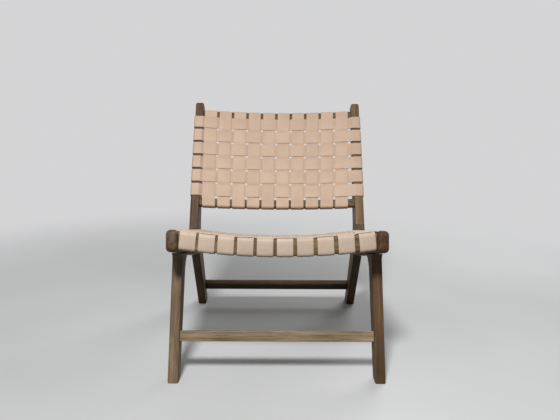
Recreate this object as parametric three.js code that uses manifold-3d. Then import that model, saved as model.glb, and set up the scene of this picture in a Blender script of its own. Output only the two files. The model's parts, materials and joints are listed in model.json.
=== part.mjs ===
// A low armless lounge chair: a solid wood frame with a seat and a back of woven leather straps.
// Millimetres, +Z up, front towards -Y. Left and right are as seen from the front: right is +X.

import * as THREE from 'three';
import { mergeVertices } from 'three/addons/utils/BufferGeometryUtils.js';
import Module from 'manifold-3d';

// Side frames: everything in them lies in one upright plane on each side
const RAIL_OUTER_WIDTH = 610;
const SIDE_RAIL_WIDTH = 33;
const SIDE_RAIL_FRONT_DEPTH = 61;
const SIDE_RAIL_ROUND = 12;
const RAIL_END_ROUND = 14;
const RAIL_REBATE = 4;
const KNOB_LENGTH = 20;
const LEG_WIDTH = 30;
const EDGE_ROUND = 4;

// Seat
const SEAT_FRONT_HEIGHT = 431;
const SEAT_SLOPE = THREE.MathUtils.degToRad(12);
const RAIL_UNDERSIDE_SLOPE = THREE.MathUtils.degToRad(15.5);
const SEAT_DEPTH = 423;
const SEAT_DISH = 20;

// Back
const BACK_LEAN = THREE.MathUtils.degToRad(28.6);
const POST_LENGTH = 496;
const POST_TOP_DEPTH = 37;
const POST_TOP_ROUND = 9;
const POST_TOP_EASE_SHARE = 0.8;
const KNEE_DEPTH = 96;
const KNEE_ROUND = 90;
const KNEE_STUB = 21;
const BACK_DISH = 20;
const BACK_SETBACK = 4;

// Legs
const FRONT_FOOT_AHEAD = 34;
const FRONT_LEG_LEAN = THREE.MathUtils.degToRad(21);
const FRONT_FOOT_DEPTH = 42;
const FRONT_LEG_TOP_DEPTH = 62;
const FRONT_LEG_FRONT_FLARE = 18;
const FRONT_LEG_REAR_FLARE = 60;
const FLARE_LIP = 3;
const REAR_FOOT_BEHIND = 617;
const REAR_LEG_LEAN = THREE.MathUtils.degToRad(33.5);
const REAR_FOOT_DEPTH = 56;

// Cross rails and stretchers
const SEAT_RAIL_HEIGHT = 46;
const SEAT_RAIL_DEPTH = 30;
const FRONT_RAIL_SET = 9;
const REAR_RAIL_SET = 11;
const SEAT_RAIL_ROUND = 7;
const BACK_RAIL_HEIGHT = 29;
const BACK_RAIL_DEPTH = 22;
const BACK_RAIL_ROUND = 5;
const TOP_RAIL_BELOW_POST = 30.5;
const BOTTOM_RAIL_ABOVE_SEAT = 90;
const STRETCHER_HEIGHT = 30;
const STRETCHER_DEPTH = 24;
const STRETCHER_ROUND = 3;
const STRETCHER_INSET = 2;
const FRONT_STRETCHER_LEVEL = 121;
const REAR_STRETCHER_LEVEL = 87;

// Joinery
const TENON_LENGTH = 15;
const TENON_THICKNESS = 12;
const TENON_SHOULDER = 6;
const LEG_TENON_LENGTH = 26;
const LEG_TENON_DEPTH = 34;
const DOWEL_RADIUS = 5;
const DOWEL_LENGTH = 40;
const JOINT_GAP = 0.3;

// Leather
const STRAP_WIDTH = 45;
const STRAP_THICKNESS = 2.5;
const STRAP_MIN_GAP = 7;
const WEAVE_GAP = 0.9;
const STRAP_CLEARANCE = 0.35;
const RAMP_LENGTH = 8;
const RAMP_MARGIN = 1;
const SEAT_STRAP_TAIL = 26;
const SEAT_CROSS_TAIL = 22;
const BACK_STRAP_TAIL = 24;
const BACK_CROSS_TAIL = 22;
const SEAT_FIELD_MARGIN = 5.5;
const FACE_LEAN_SHARE = 0.66;
const SEAT_STRAP_DRIFT = 7;
const BACK_TOP_MARGIN_LEFT = 5;
const BACK_TOP_MARGIN_RIGHT = 12;
const BACK_BOTTOM_MARGIN_LEFT = 10;
const BACK_BOTTOM_MARGIN_RIGHT = 24;
const BACK_ROWS_ABOVE_SEAT = 126;
const BACK_ROWS_BELOW_POST = 59;

// Facets
const CURVE_STEPS = 24;
const FILLET_STEPS = 6;
const EDGE_STEPS = 2;
const ROUND_STEPS = 4;
const TURN_STEPS = 4;
const LEAST_TURN = THREE.MathUtils.degToRad(4);
const DOWEL_SIDES = 12;
const SPARE = 40;
const SLIGHT_SPARE = 0.5;

const wasm = await Module();
wasm.setup();

const wood = new THREE.MeshStandardMaterial({ color: 0x6e5d48, roughness: 0.6, metalness: 0 });
const leather = new THREE.MeshStandardMaterial({ color: 0xd9bda3, roughness: 0.65, metalness: 0 });

const chair = new THREE.Group();

function addPiece(name, geometry, material) {
  geometry.computeVertexNormals();
  const piece = new THREE.Mesh(geometry, material);
  piece.name = name;
  chair.add(piece);
}

// Solids: closed meshes that can be joined and cut
function toSolid(geometry) {
  const bare = geometry.clone();
  bare.deleteAttribute('normal');
  bare.deleteAttribute('uv');
  const merged = mergeVertices(bare, 1e-4);
  return new wasm.Manifold(new wasm.Mesh({
    numProp: 3,
    vertProperties: new Float32Array(merged.attributes.position.array),
    triVerts: new Uint32Array(merged.index.array),
  }));
}

function toGeometry(solid) {
  const mesh = solid.getMesh();
  const geometry = new THREE.BufferGeometry();
  geometry.setAttribute('position', new THREE.BufferAttribute(new Float32Array(mesh.vertProperties), 3));
  geometry.setIndex(new THREE.BufferAttribute(new Uint32Array(mesh.triVerts), 1));
  return geometry;
}

// Places in the side plane are (y, z) pairs, held as Vector2
const point = (y, z) => new THREE.Vector2(y, z);
const along = (from, direction, distance) => from.clone().addScaledVector(direction, distance);
const mix = (from, to, share) => from.clone().lerp(to, share);

function crossing(fromA, directionA, fromB, directionB) {
  const offset = fromB.clone().sub(fromA);
  const distance = offset.cross(directionB) / directionA.cross(directionB);
  return along(fromA, directionA, distance);
}

// Side plane directions
const seatBack = point(Math.cos(SEAT_SLOPE), -Math.sin(SEAT_SLOPE));
const seatUp = point(Math.sin(SEAT_SLOPE), Math.cos(SEAT_SLOPE));
const undersideBack = point(Math.cos(RAIL_UNDERSIDE_SLOPE), -Math.sin(RAIL_UNDERSIDE_SLOPE));
const backUp = point(Math.sin(BACK_LEAN), Math.cos(BACK_LEAN));
const backFront = point(-Math.cos(BACK_LEAN), Math.sin(BACK_LEAN));
const frontLegUp = point(Math.sin(FRONT_LEG_LEAN), Math.cos(FRONT_LEG_LEAN));
const rearLegUp = point(-Math.sin(REAR_LEG_LEAN), Math.cos(REAR_LEG_LEAN));

// Side plane places
const seatDatum = point(0, SEAT_FRONT_HEIGHT);
const undersideFront = along(seatDatum, seatUp, -SIDE_RAIL_FRONT_DEPTH);
const railTopRear = along(seatDatum, seatBack, SEAT_DEPTH);
const frontFoot = point(-FRONT_FOOT_AHEAD, 0);
const frontFootHeel = point(frontFoot.x + FRONT_FOOT_DEPTH, 0);
const rearFoot = point(REAR_FOOT_BEHIND, 0);
const rearFootHeel = point(rearFoot.x + REAR_FOOT_DEPTH, 0);
const railBottomRear = crossing(undersideFront, undersideBack, rearFoot, rearLegUp);
const frontLegTop = crossing(undersideFront, undersideBack, frontFoot, frontLegUp);
const frontLegTopHeel = along(frontLegTop, undersideBack, FRONT_LEG_TOP_DEPTH);
const kneeFront = crossing(railTopRear, backUp, rearFoot, rearLegUp);
const kneeRear = point(kneeFront.x + KNEE_DEPTH, kneeFront.y);
const postTop = along(railTopRear, backUp, POST_LENGTH);
const postTopRear = along(postTop, backFront, -POST_TOP_DEPTH);
const seamFront = along(railTopRear, backUp, KNEE_STUB);
const postRearUp = postTopRear.clone().sub(kneeRear).normalize();
const legRearUp = kneeRear.clone().sub(rearFootHeel).normalize();
const seamRear = crossing(seamFront, point(1, 0), kneeRear, postRearUp);

// Side to side
const railOuter = RAIL_OUTER_WIDTH / 2;
const railInner = railOuter - SIDE_RAIL_WIDTH;
const railMiddle = railOuter - SIDE_RAIL_WIDTH / 2;
const legOuter = railOuter;
const legInner = legOuter - LEG_WIDTH;
const legMiddle = legOuter - LEG_WIDTH / 2;

// Three frames of reference: the side plane, the seat and the back
const axisX = new THREE.Vector3(1, 0, 0);
const toSpace = (place, x = 0) => new THREE.Vector3(x, place.x, place.y);

function seatPlace(x, back, up) {
  return toSpace(along(along(seatDatum, seatBack, back), seatUp, up), x);
}

function backPlace(x, forward, up) {
  return toSpace(along(along(railTopRear, backFront, forward), backUp, up), x);
}

function basisAt(origin, axisA, axisB) {
  const axisC = axisA.clone().cross(axisB);
  return new THREE.Matrix4().makeBasis(axisA, axisB, axisC).setPosition(origin);
}

const sideBasis = (x) => basisAt(new THREE.Vector3(x, 0, 0), toSpace(point(1, 0)), toSpace(point(0, 1)));

// A slab cut from an outline, centred on its own plane, with rounded edges
function slab(outline, thickness, round, steps, matrix) {
  const geometry = new THREE.ExtrudeGeometry(new THREE.Shape(outline), {
    depth: thickness - 2 * round,
    steps: 1,
    bevelEnabled: round > 0,
    bevelThickness: round,
    bevelSize: round,
    bevelOffset: -round,
    bevelSegments: steps,
  });
  geometry.translate(0, 0, round - thickness / 2);
  return toSolid(geometry.applyMatrix4(matrix));
}

function block(size, matrix) {
  return toSolid(new THREE.BoxGeometry(size.x, size.y, size.z).applyMatrix4(matrix));
}

function rod(radius, length, middle, direction) {
  const geometry = new THREE.CylinderGeometry(radius, radius, length, DOWEL_SIDES);
  const turn = new THREE.Quaternion().setFromUnitVectors(new THREE.Vector3(0, 1, 0), direction);
  const matrix = new THREE.Matrix4().compose(middle, turn, new THREE.Vector3(1, 1, 1));
  return toSolid(geometry.applyMatrix4(matrix));
}

// Points of the arc that eases the corner between two straight edges
function cornerArc(before, corner, after, radius) {
  const back = before.clone().sub(corner).normalize();
  const onward = after.clone().sub(corner).normalize();
  const halfAngle = Math.acos(back.dot(onward)) / 2;
  const centre = along(corner, back.clone().add(onward).normalize(), radius / Math.sin(halfAngle));
  const start = along(corner, back, radius / Math.tan(halfAngle));
  const sweep = (Math.PI - 2 * halfAngle) * Math.sign(onward.cross(back));
  const points = [];
  for (let step = 0; step <= FILLET_STEPS; step += 1) {
    points.push(start.clone().rotateAround(centre, sweep * step / FILLET_STEPS));
  }
  return points;
}

// The half plane on one side of a cut line, as a large block
function beyond(from, to) {
  const run = to.clone().sub(from).normalize();
  const outward = point(run.y, -run.x);
  const size = new THREE.Vector3(4 * SPARE + from.distanceTo(to), 6 * SPARE, 2 * RAIL_OUTER_WIDTH);
  const middle = along(mix(from, to, 0.5), outward, size.y / 2);
  return block(size, basisAt(toSpace(middle), toSpace(run), toSpace(outward)));
}

// Levels of the woven surfaces
const layer = (STRAP_THICKNESS + WEAVE_GAP) / 2;
const skin = STRAP_CLEARANCE + STRAP_THICKNESS / 2;
const halfStrap = STRAP_WIDTH / 2;
const dishShare = (x, span) => 1 - (x / span) ** 2;
const seatLevel = (x) => skin - RAIL_REBATE - SEAT_DISH * dishShare(x, railInner);
const seatRailTop = (x) => seatLevel(x) - layer - skin;

const topRailTop = POST_LENGTH - TOP_RAIL_BELOW_POST;
const topRailMiddle = topRailTop - BACK_RAIL_HEIGHT / 2;
const bottomRailMiddle = BOTTOM_RAIL_ABOVE_SEAT + BACK_RAIL_HEIGHT / 2;

const backLevel = (x) => -BACK_SETBACK - BACK_DISH * dishShare(x, legInner);
const backRailFront = (x) => backLevel(x) - layer - skin;

function railDepthAt(back) {
  const top = along(seatDatum, seatBack, back);
  return top.distanceTo(crossing(top, seatUp, undersideFront, undersideBack));
}

function postDepthAt(up) {
  const front = along(railTopRear, backUp, up);
  return front.distanceTo(crossing(front, backFront, kneeRear, postRearUp));
}

// Mortise and tenon: one block, made larger by the joint gap for the mortise
function tenon(size, matrix, gap = 0) {
  return block(new THREE.Vector3(size.x + 2 * gap, size.y + 2 * gap, size.z + 2 * gap), matrix);
}

const sides = [['left', -1], ['right', 1]];

// A rail dished along its length, with a tenon at each end
function dishedRail({ curve, height, depth, round, matrix, reach, tenonHeight }) {
  const outline = [];
  const end = reach + SPARE;
  for (let step = 0; step <= CURVE_STEPS; step += 1) {
    const x = THREE.MathUtils.lerp(-end, end, step / CURVE_STEPS);
    outline.push(new THREE.Vector2(x, curve(x)));
  }
  for (let step = CURVE_STEPS; step >= 0; step -= 1) {
    const x = THREE.MathUtils.lerp(-end, end, step / CURVE_STEPS);
    outline.push(new THREE.Vector2(x, curve(x) - height));
  }
  const bar = slab(outline, depth, round, ROUND_STEPS, matrix);
  const length = 2 * (reach - JOINT_GAP);
  const trimmed = bar.intersect(block(new THREE.Vector3(length, SPARE * 10, SPARE * 10), matrix));
  const tenons = sides.map(([, side]) => {
    const middle = new THREE.Vector3(side * reach, curve(reach) - height / 2, 0);
    return {
      size: new THREE.Vector3(2 * TENON_LENGTH, tenonHeight.across, tenonHeight.along),
      matrix: matrix.clone().multiply(new THREE.Matrix4().makeTranslation(middle)),
    };
  });
  const solid = tenons.reduce((whole, one) => whole.add(tenon(one.size, one.matrix)), trimmed);
  return { solid, mortises: tenons.map((one) => tenon(one.size, one.matrix, JOINT_GAP)) };
}

function seatRail(rearFace) {
  const middle = seatPlace(0, rearFace - SEAT_RAIL_DEPTH / 2, 0);
  return dishedRail({
    curve: seatRailTop,
    height: SEAT_RAIL_HEIGHT,
    depth: SEAT_RAIL_DEPTH,
    round: SEAT_RAIL_ROUND,
    matrix: basisAt(middle, axisX, toSpace(seatUp)),
    reach: railInner,
    tenonHeight: { across: SEAT_RAIL_HEIGHT - 2 * TENON_SHOULDER, along: TENON_THICKNESS },
  });
}

function backRail(middleUp) {
  return dishedRail({
    curve: backRailFront,
    height: BACK_RAIL_DEPTH,
    depth: BACK_RAIL_HEIGHT,
    round: BACK_RAIL_ROUND,
    matrix: basisAt(backPlace(0, 0, middleUp), axisX, toSpace(backFront)),
    reach: legInner,
    tenonHeight: { across: TENON_THICKNESS, along: BACK_RAIL_HEIGHT - 2 * TENON_SHOULDER },
  });
}

// A straight stretcher lying against one edge of a pair of legs
function stretcher(edgeFoot, edgeUp, inward, level) {
  const onEdge = along(edgeFoot, edgeUp, level / edgeUp.y);
  const middle = along(onEdge, inward, STRETCHER_INSET + STRETCHER_DEPTH / 2);
  const matrix = basisAt(toSpace(middle), axisX, toSpace(edgeUp));
  const halfHeight = STRETCHER_HEIGHT / 2;
  const end = legInner + SPARE;
  const outline = [
    new THREE.Vector2(-end, -halfHeight),
    new THREE.Vector2(end, -halfHeight),
    new THREE.Vector2(end, halfHeight),
    new THREE.Vector2(-end, halfHeight),
  ];
  const bar = slab(outline, STRETCHER_DEPTH, STRETCHER_ROUND, EDGE_STEPS, matrix);
  const length = 2 * (legInner - JOINT_GAP);
  const trimmed = bar.intersect(block(new THREE.Vector3(length, SPARE * 10, SPARE * 10), matrix));
  const size = new THREE.Vector3(
    2 * (legInner + TENON_LENGTH),
    STRETCHER_HEIGHT - 2 * TENON_SHOULDER,
    TENON_THICKNESS,
  );
  return { solid: trimmed.add(tenon(size, matrix)), mortises: [tenon(size, matrix, JOINT_GAP)] };
}

const frontSeatRail = seatRail(FRONT_RAIL_SET + SEAT_RAIL_DEPTH);
const rearSeatRail = seatRail(SEAT_DEPTH - REAR_RAIL_SET);
const backTopRail = backRail(topRailMiddle);
const backBottomRail = backRail(bottomRailMiddle);
const frontInward = point(frontLegUp.y, -frontLegUp.x);
const rearInward = point(-legRearUp.y, legRearUp.x);
const frontStretcher = stretcher(frontFoot, frontLegUp, frontInward, FRONT_STRETCHER_LEVEL);
const rearStretcher = stretcher(rearFootHeel, legRearUp, rearInward, REAR_STRETCHER_LEVEL);

// Dowels of the knee: two into the back post and two into the side rail on each side
function kneeDowels(x) {
  const railBack = seatBack.clone().add(undersideBack).normalize();
  const postUp = backUp.clone().add(postRearUp).normalize();
  const places = [
    ['post_dowel_front', mix(seamFront, seamRear, 0.32), postUp],
    ['post_dowel_rear', mix(seamFront, seamRear, 0.7), postUp],
    ['rail_dowel_lower', mix(railBottomRear, railTopRear, 0.3), railBack],
    ['rail_dowel_upper', mix(railBottomRear, railTopRear, 0.66), railBack],
  ];
  return places.map(([name, middle, direction]) => {
    const axis = [toSpace(middle, x), toSpace(direction)];
    return {
      name,
      solid: rod(DOWEL_RADIUS, DOWEL_LENGTH, ...axis),
      hole: rod(DOWEL_RADIUS + JOINT_GAP, DOWEL_LENGTH + 2 * JOINT_GAP, ...axis),
    };
  });
}

const cutAll = (solid, cuts) => cuts.reduce((rest, cut) => rest.subtract(cut), solid);

// The line of a joint, drawn back by the joint gap so that the pieces don't touch
function drawnBack(from, to) {
  const run = to.clone().sub(from).normalize();
  const inward = point(-run.y, run.x);
  return [along(from, inward, JOINT_GAP), along(to, inward, JOINT_GAP)];
}

const undersideUp = point(-undersideBack.y, undersideBack.x);

function legTenon(x, gap = 0) {
  const middle = toSpace(mix(frontLegTop, frontLegTopHeel, 0.5), x);
  const size = new THREE.Vector3(LEG_TENON_DEPTH, 2 * LEG_TENON_LENGTH, TENON_THICKNESS);
  return tenon(size, basisAt(middle, toSpace(undersideBack), toSpace(undersideUp)), gap);
}

function railBar(side, lowered) {
  const frontTop = along(seatDatum, seatUp, -lowered);
  const stockTop = along(frontTop, seatBack, SEAT_DEPTH + SPARE);
  const stockBottom = along(railBottomRear, undersideBack, SPARE);
  const outline = [
    ...cornerArc(stockBottom, undersideFront, frontTop, RAIL_END_ROUND),
    ...cornerArc(undersideFront, frontTop, stockTop, RAIL_END_ROUND),
    ...cornerArc(frontTop, stockTop, stockBottom, RAIL_END_ROUND),
    ...cornerArc(stockTop, stockBottom, undersideFront, RAIL_END_ROUND),
  ];
  return slab(outline, SIDE_RAIL_WIDTH, SIDE_RAIL_ROUND, ROUND_STEPS, sideBasis(side * railMiddle));
}

// The rail's top is lowered for the leather, and a knob of its full height is left at the front
function sideRail(side, dowels) {
  const knobEnd = along(seatDatum, seatBack, KNOB_LENGTH);
  const knobEndBelow = along(knobEnd, seatUp, -SIDE_RAIL_FRONT_DEPTH);
  const knob = railBar(side, 0).intersect(beyond(knobEnd, knobEndBelow));
  const bar = railBar(side, RAIL_REBATE).add(knob);
  const shaped = bar.subtract(beyond(...drawnBack(railBottomRear, railTopRear)));
  const legMortise = legTenon(side * legMiddle, JOINT_GAP);
  const mortises = [...frontSeatRail.mortises, ...rearSeatRail.mortises, legMortise];
  return cutAll(shaped, [...mortises, ...dowels.map((dowel) => dowel.hole)]);
}

// The front leg's top flares out along the rail's underside, ending in a thin lip on each side
const lipFront = along(undersideFront, undersideUp, -FLARE_LIP);
const flareFront = cornerArc(
  frontFoot,
  crossing(lipFront, undersideBack, frontFoot, frontLegUp),
  lipFront,
  FRONT_LEG_FRONT_FLARE,
);
const heelUp = frontLegTopHeel.clone().sub(frontFootHeel).normalize();
const flareRear = cornerArc(
  along(lipFront, undersideBack, SEAT_DEPTH),
  crossing(lipFront, undersideBack, frontFootHeel, heelUp),
  frontFootHeel,
  FRONT_LEG_REAR_FLARE,
);

function frontLeg(x) {
  const outline = [
    frontFoot,
    ...flareFront,
    along(flareFront.at(-1), undersideUp, SPARE),
    along(flareRear[0], undersideUp, SPARE),
    ...flareRear,
    frontFootHeel,
  ];
  const plank = slab(outline, LEG_WIDTH, EDGE_ROUND, EDGE_STEPS, sideBasis(x));
  const shaped = plank.subtract(beyond(...drawnBack(frontLegTopHeel, frontLegTop)));
  return cutAll(shaped.add(legTenon(x)), frontStretcher.mortises);
}

function rearLeg(x, dowels) {
  const outline = [
    rearFoot,
    railBottomRear,
    railTopRear,
    along(seamFront, backUp, SPARE),
    along(seamRear, postRearUp, SPARE),
    ...cornerArc(postTopRear, kneeRear, rearFootHeel, KNEE_ROUND),
    rearFootHeel,
  ];
  const plank = slab(outline, LEG_WIDTH, EDGE_ROUND, EDGE_STEPS, sideBasis(x));
  const shaped = plank.subtract(beyond(seamRear, seamFront));
  return cutAll(shaped, [...rearStretcher.mortises, ...dowels.map((dowel) => dowel.hole)]);
}

function backPost(x, dowels) {
  const outline = [
    along(seamFront, backUp, -SPARE),
    ...cornerArc(seamFront, postTop, postTopRear, POST_TOP_ROUND),
    ...cornerArc(postTop, postTopRear, kneeRear, POST_TOP_ROUND),
    ...cornerArc(postTopRear, kneeRear, rearFootHeel, KNEE_ROUND),
  ];
  const plank = slab(outline, LEG_WIDTH, EDGE_ROUND, EDGE_STEPS, sideBasis(x));
  const shaped = plank.subtract(beyond(...drawnBack(seamFront, seamRear)));
  const mortises = [...backTopRail.mortises, ...backBottomRail.mortises];
  return cutAll(shaped.intersect(roundedTop(x)), [...mortises, ...dowels.map((dowel) => dowel.hole)]);
}

// A tall prism with a round-cornered top, which eases the post's top as seen from the front
function roundedTop(x) {
  const half = LEG_WIDTH / 2 + SLIGHT_SPARE;
  const round = POST_TOP_EASE_SHARE * half;
  const top = new THREE.Vector2(half, POST_LENGTH);
  const outline = [
    new THREE.Vector2(-half, -POST_LENGTH),
    new THREE.Vector2(half, -POST_LENGTH),
    ...cornerArc(new THREE.Vector2(half, 0), top, new THREE.Vector2(0, POST_LENGTH), round),
    ...cornerArc(
      new THREE.Vector2(0, POST_LENGTH),
      new THREE.Vector2(-half, POST_LENGTH),
      new THREE.Vector2(-half, 0),
      round,
    ),
  ];
  return slab(outline, POST_LENGTH, 0, EDGE_STEPS, basisAt(backPlace(x, 0, 0), axisX, toSpace(backUp)));
}

for (const [sideName, side] of sides) {
  const x = side * legMiddle;
  const dowels = kneeDowels(x);
  const postDowels = dowels.filter((dowel) => dowel.name.startsWith('post'));
  const railDowels = dowels.filter((dowel) => dowel.name.startsWith('rail'));
  addPiece(`side_rail_${sideName}`, toGeometry(sideRail(side, railDowels)), wood);
  addPiece(`front_leg_${sideName}`, toGeometry(frontLeg(x)), wood);
  addPiece(`rear_leg_${sideName}`, toGeometry(rearLeg(x, dowels)), wood);
  addPiece(`back_post_${sideName}`, toGeometry(backPost(x, postDowels)), wood);
  for (const dowel of dowels) {
    addPiece(`${dowel.name}_${sideName}`, toGeometry(dowel.solid), wood);
  }
}
addPiece('front_seat_rail', toGeometry(frontSeatRail.solid), wood);
addPiece('rear_seat_rail', toGeometry(rearSeatRail.solid), wood);
addPiece('back_top_rail', toGeometry(backTopRail.solid), wood);
addPiece('back_bottom_rail', toGeometry(backBottomRail.solid), wood);
addPiece('front_stretcher', toGeometry(frontStretcher.solid), wood);
addPiece('rear_stretcher', toGeometry(rearStretcher.solid), wood);

// A strap is swept between its two long edges. Each edge has a path in its own plane, as pairs
// of (distance, level), and a rule that puts such a pair in space.
function strapGeometry(edges) {
  const half = STRAP_THICKNESS / 2;
  const corners = edges.map(({ path, place }) => path.map((here, index) => {
    const before = path[Math.max(index - 1, 0)];
    const after = path[Math.min(index + 1, path.length - 1)];
    const runIn = here.clone().sub(before).normalize();
    const runOut = after.clone().sub(here).normalize();
    const run = runIn.clone().add(runOut).normalize();
    const turn = Math.max(run.dot(index > 0 ? runIn : runOut), 0.5);
    const up = point(-run.y, run.x).multiplyScalar(half / turn);
    return [place(here.clone().add(up)), place(here.clone().sub(up))];
  }));
  const [near, far] = corners;
  const rings = near.map((pair, index) => [pair[0], far[index][0], far[index][1], pair[1]]);
  const positions = rings.flat().flatMap((corner) => corner.toArray());
  const index = [0, 1, 2, 0, 2, 3];
  for (let ring = 0; ring + 1 < rings.length; ring += 1) {
    for (let side = 0; side < 4; side += 1) {
      const a = ring * 4 + side;
      const b = ring * 4 + (side + 1) % 4;
      index.push(a, a + 4, b + 4, a, b + 4, b);
    }
  }
  const last = (rings.length - 1) * 4;
  index.push(last, last + 2, last + 1, last, last + 3, last + 2);
  const geometry = new THREE.BufferGeometry();
  geometry.setAttribute('position', new THREE.Float32BufferAttribute(positions, 3));
  geometry.setIndex(facesInward(rings) ? index.reverse() : index);
  return geometry;
}

// Whether the first ring's face looks along the strap, and so into it
function facesInward(rings) {
  const [first, second, , last] = rings[0];
  const across = second.clone().sub(first);
  const down = last.clone().sub(first);
  const onward = rings[1][0].clone().sub(first);
  return across.cross(down).dot(onward) > 0;
}

function arcPoints(centre, radius, fromAngle, toAngle) {
  const points = [];
  for (let step = 0; step <= TURN_STEPS; step += 1) {
    const angle = THREE.MathUtils.lerp(fromAngle, toAngle, step / TURN_STEPS);
    points.push(point(centre.x + radius * Math.cos(angle), centre.y + radius * Math.sin(angle)));
  }
  return points;
}

// Arc that a strap follows round an edge after leaving a point in a straight line
function tangentArc(from, centre, radius, toAngle) {
  const offset = from.clone().sub(centre);
  const opening = Math.acos(Math.min(radius / offset.length(), 1));
  const start = Math.max(offset.angle() - opening, toAngle + LEAST_TURN);
  return arcPoints(centre, radius, start, toAngle);
}

const QUARTER = Math.PI / 2;
const flipped = (path) => path.map((place) => point(-place.x, place.y)).reverse();

// Strap centres between two ends: as many as fit, evenly spaced unless they drift to one side
function strapCount(from, to) {
  return Math.floor((to - from + STRAP_MIN_GAP) / (STRAP_WIDTH + STRAP_MIN_GAP));
}

function spread(from, to, count = strapCount(from, to), drift = 0) {
  return Array.from({ length: count }, (_, index) => {
    const share = index / (count - 1);
    const even = THREE.MathUtils.lerp(from + halfStrap, to - halfStrap, share);
    return even - drift * 4 * share * (1 - share);
  });
}

// The waved stretch of a strap, over and under the straps that it crosses
function wovenRun(centres, overFirst, level) {
  return centres.flatMap((centre, index) => {
    const over = (index % 2 === 0) === overFirst;
    const offset = over ? layer : -layer;
    const reach = halfStrap + RAMP_MARGIN;
    return [centre - reach, centre + reach].map((place) => point(place, level(place) + offset));
  });
}

const frontFace = FRONT_RAIL_SET;
const rearFace = SEAT_DEPTH - REAR_RAIL_SET;
const seatLead = SEAT_RAIL_ROUND + RAMP_LENGTH;
const seatHalf = railInner - SEAT_FIELD_MARGIN;
const seatColumns = spread(-seatHalf, seatHalf, strapCount(-seatHalf, seatHalf), SEAT_STRAP_DRIFT);
const seatRows = spread(frontFace + seatLead, rearFace - seatLead);
const backBottomEnds = [BACK_BOTTOM_MARGIN_LEFT - legInner, legInner - BACK_BOTTOM_MARGIN_RIGHT];
const backTopEnds = [BACK_TOP_MARGIN_LEFT - legInner, legInner - BACK_TOP_MARGIN_RIGHT];
const backCount = strapCount(...backBottomEnds);
const backBottomColumns = spread(...backBottomEnds, backCount);
const backTopColumns = spread(...backTopEnds, backCount);
const backRows = spread(BACK_ROWS_ABOVE_SEAT, POST_LENGTH - BACK_ROWS_BELOW_POST);

// The back's straps fan out a little towards the top
function backColumnsAt(up) {
  const share = (up - BOTTOM_RAIL_ABOVE_SEAT) / (topRailTop - BOTTOM_RAIL_ABOVE_SEAT);
  return backBottomColumns.map((centre, index) => {
    return THREE.MathUtils.lerp(centre, backTopColumns[index], share);
  });
}

// Wrap round a rail of the seat or back, from its tail up to where the strap leaves it
function railWrap(face, top, bottom, round, tail) {
  const radius = round + skin;
  return [
    point(face + tail, bottom - skin),
    ...arcPoints(point(face + round, bottom + round), radius, -QUARTER, -2 * QUARTER),
    ...arcPoints(point(face + round, top - round), radius, 2 * QUARTER, QUARTER),
  ];
}

function seatStrapPath(x, overFirst) {
  const top = seatRailTop(x);
  const bottom = top - SEAT_RAIL_HEIGHT;
  const front = railWrap(frontFace, top, bottom, SEAT_RAIL_ROUND, SEAT_STRAP_TAIL);
  const rear = flipped(railWrap(-rearFace, top, bottom, SEAT_RAIL_ROUND, SEAT_STRAP_TAIL));
  return [...front, ...wovenRun(seatRows, overFirst, () => seatLevel(x)), ...rear];
}

// On the face of a dished rail a strap turns towards square with the rail's curve: its lower end leans out
function faceLean(centre, level) {
  const below = THREE.MathUtils.clamp(seatRailTop(centre) - level, 0, SEAT_RAIL_HEIGHT);
  return FACE_LEAN_SHARE * below * 2 * SEAT_DISH * centre / railInner ** 2;
}

seatColumns.forEach((centre, index) => {
  const edges = [centre - halfStrap, centre + halfStrap].map((x) => ({
    path: seatStrapPath(x, index % 2 === 0),
    place: (place) => seatPlace(x + faceLean(centre, place.y), place.x, place.y),
  }));
  addPiece(`seat_strap_${index + 1}`, strapGeometry(edges), leather);
});

// Cross straps as far back as the front leg's flared top end on the rail's outer face
const legTopEnd = flareRear[0].clone().sub(seatDatum).dot(seatBack);

// End of a cross strap on one side member: over its front or top, down its outer face, and round behind
function memberWrap(from, { inner, outer, round, top, depth, tail, behind }) {
  const radius = round + skin;
  const path = [
    ...tangentArc(from, point(inner + round, top - round), radius, QUARTER),
    ...arcPoints(point(outer - round, top - round), radius, QUARTER, 0),
  ];
  if (!behind) {
    return [...path, point(outer + skin, round - depth)];
  }
  const turn = arcPoints(point(outer - round, round - depth), radius, 0, -QUARTER);
  return [...path, ...turn, point(outer - tail, -depth - skin)];
}

function crossStrapPath(centres, overFirst, level, member) {
  const woven = wovenRun(centres, overFirst, level);
  const rightEnd = memberWrap(woven.at(-1), member);
  const leftEnd = flipped(memberWrap(flipped(woven).at(-1), member));
  return [...leftEnd, ...woven, ...rightEnd];
}

seatRows.forEach((centre, index) => {
  const behind = centre - halfStrap > legTopEnd;
  const edges = [centre - halfStrap, centre + halfStrap].map((back) => {
    const member = {
      inner: railInner,
      outer: railOuter,
      round: SIDE_RAIL_ROUND,
      top: -RAIL_REBATE,
      depth: railDepthAt(back),
      tail: SEAT_CROSS_TAIL,
      behind,
    };
    return {
      path: crossStrapPath(seatColumns, index % 2 === 1, seatLevel, member),
      place: (place) => seatPlace(place.x, back, place.y),
    };
  });
  addPiece(`seat_cross_strap_${index + 1}`, strapGeometry(edges), leather);
});

function backRailWrap(end, x) {
  const front = backRailFront(x);
  return railWrap(end, front, front - BACK_RAIL_DEPTH, BACK_RAIL_ROUND, BACK_STRAP_TAIL);
}

function backStrapPath(edgeAt, overFirst) {
  const bottomWrap = backRailWrap(BOTTOM_RAIL_ABOVE_SEAT, edgeAt(bottomRailMiddle));
  const topWrap = flipped(backRailWrap(-topRailTop, edgeAt(topRailMiddle)));
  return [...bottomWrap, ...wovenRun(backRows, overFirst, (up) => backLevel(edgeAt(up))), ...topWrap];
}

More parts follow.
